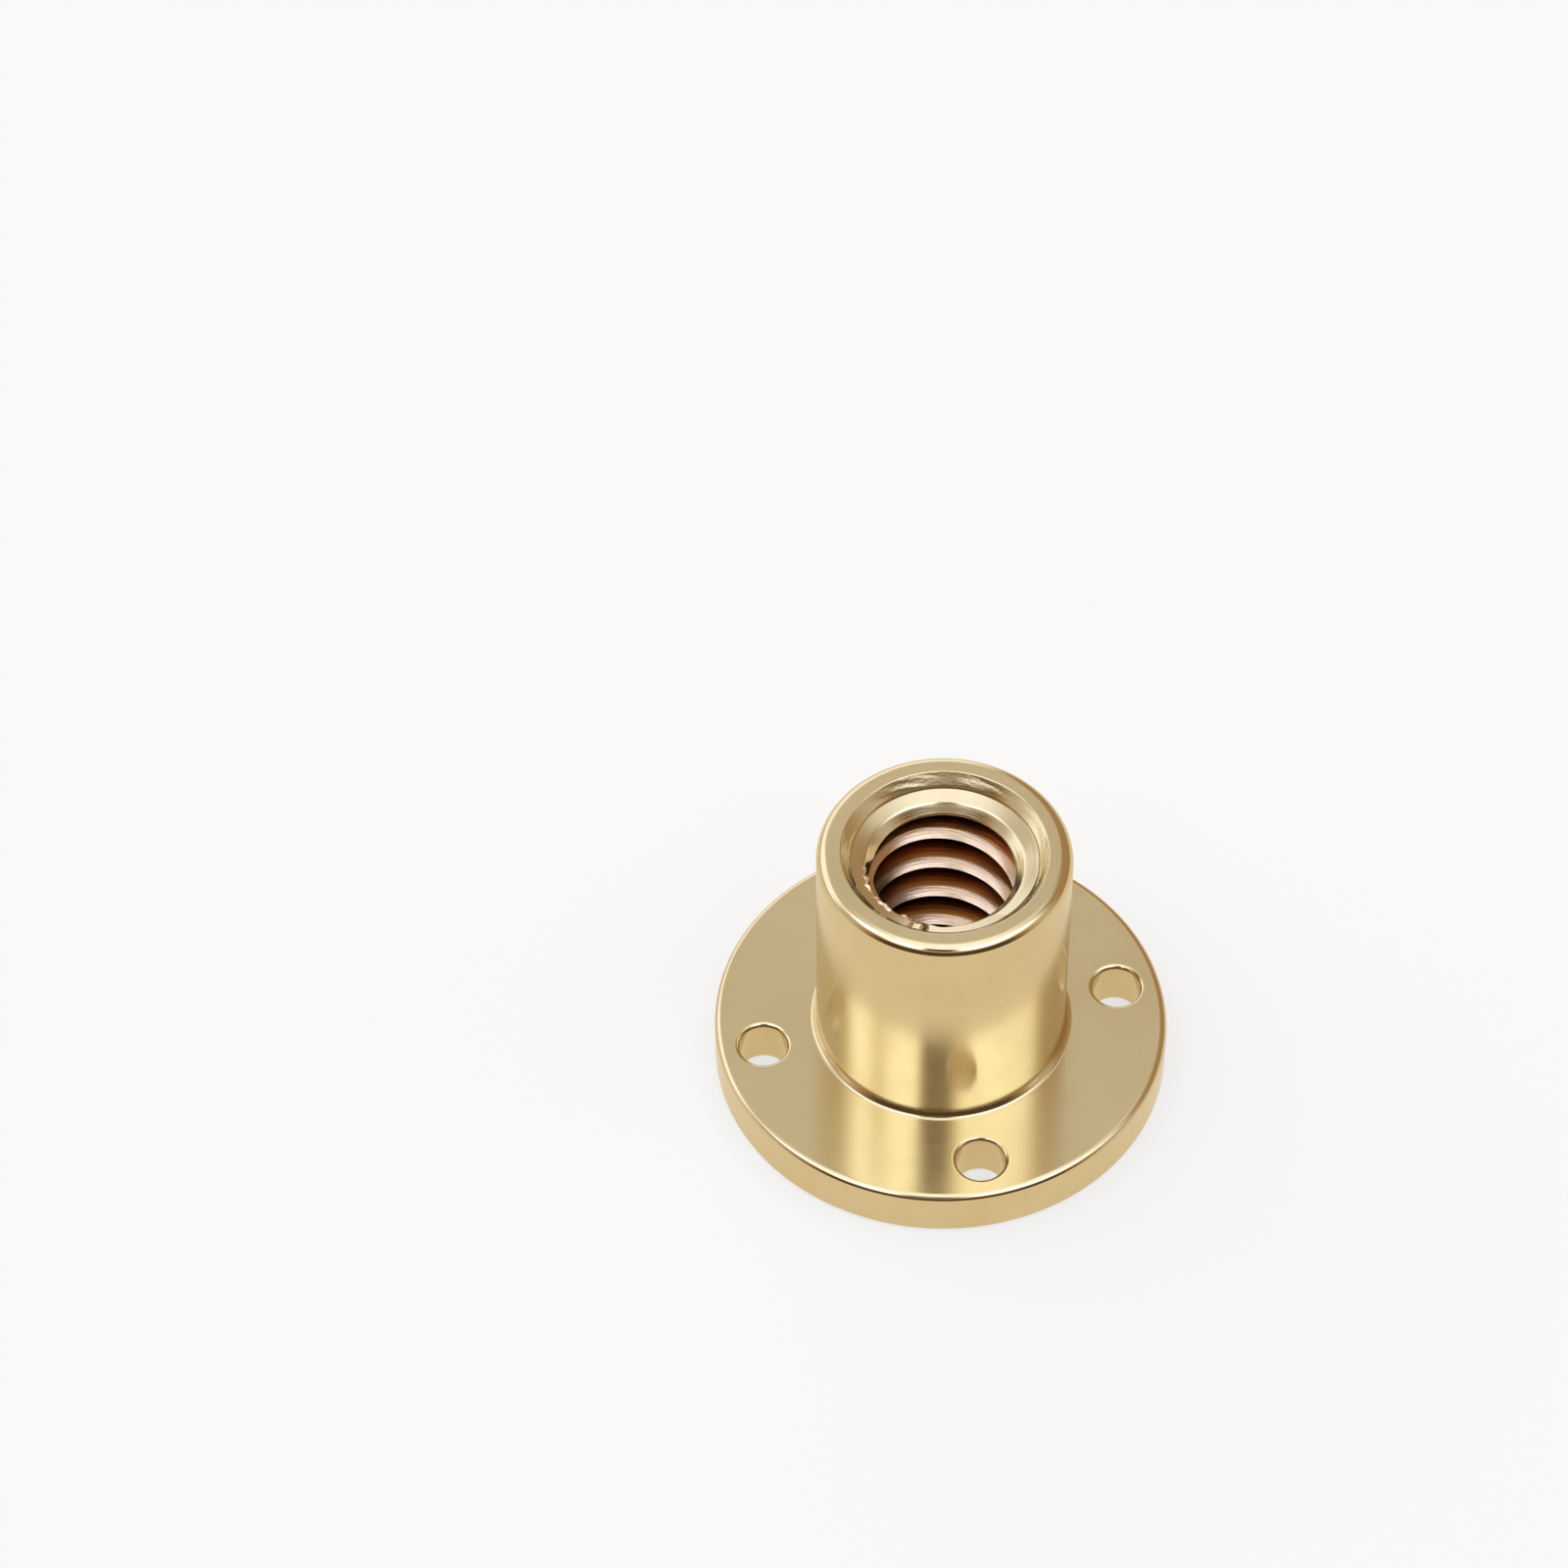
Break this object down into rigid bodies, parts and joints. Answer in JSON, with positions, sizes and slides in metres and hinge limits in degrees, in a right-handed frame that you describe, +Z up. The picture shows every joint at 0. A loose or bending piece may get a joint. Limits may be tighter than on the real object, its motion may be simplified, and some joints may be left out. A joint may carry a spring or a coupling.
{
  "type": "lead screw nut",
  "caption": "Round flanged lead screw nut: a plain cylindrical barrel on a thin round flange with bolt holes, bored and threaded right through with a trapezoidal thread.",
  "frame": {"origin": "centre of the flange's flat underside, on the thread's axis", "axes": "+Z runs up the barrel along the thread's axis; +X lies 11 degrees clockwise, seen from above, of the first bolt hole"},
  "size_m": [0.03, 0.03, 0.0207],
  "materials": {
    "brass": "turned and lightly polished, with fine turning marks"
  },
  "bodies": {
    "root": {"flanged_nut": "brass"}
  },
  "joints": []
}
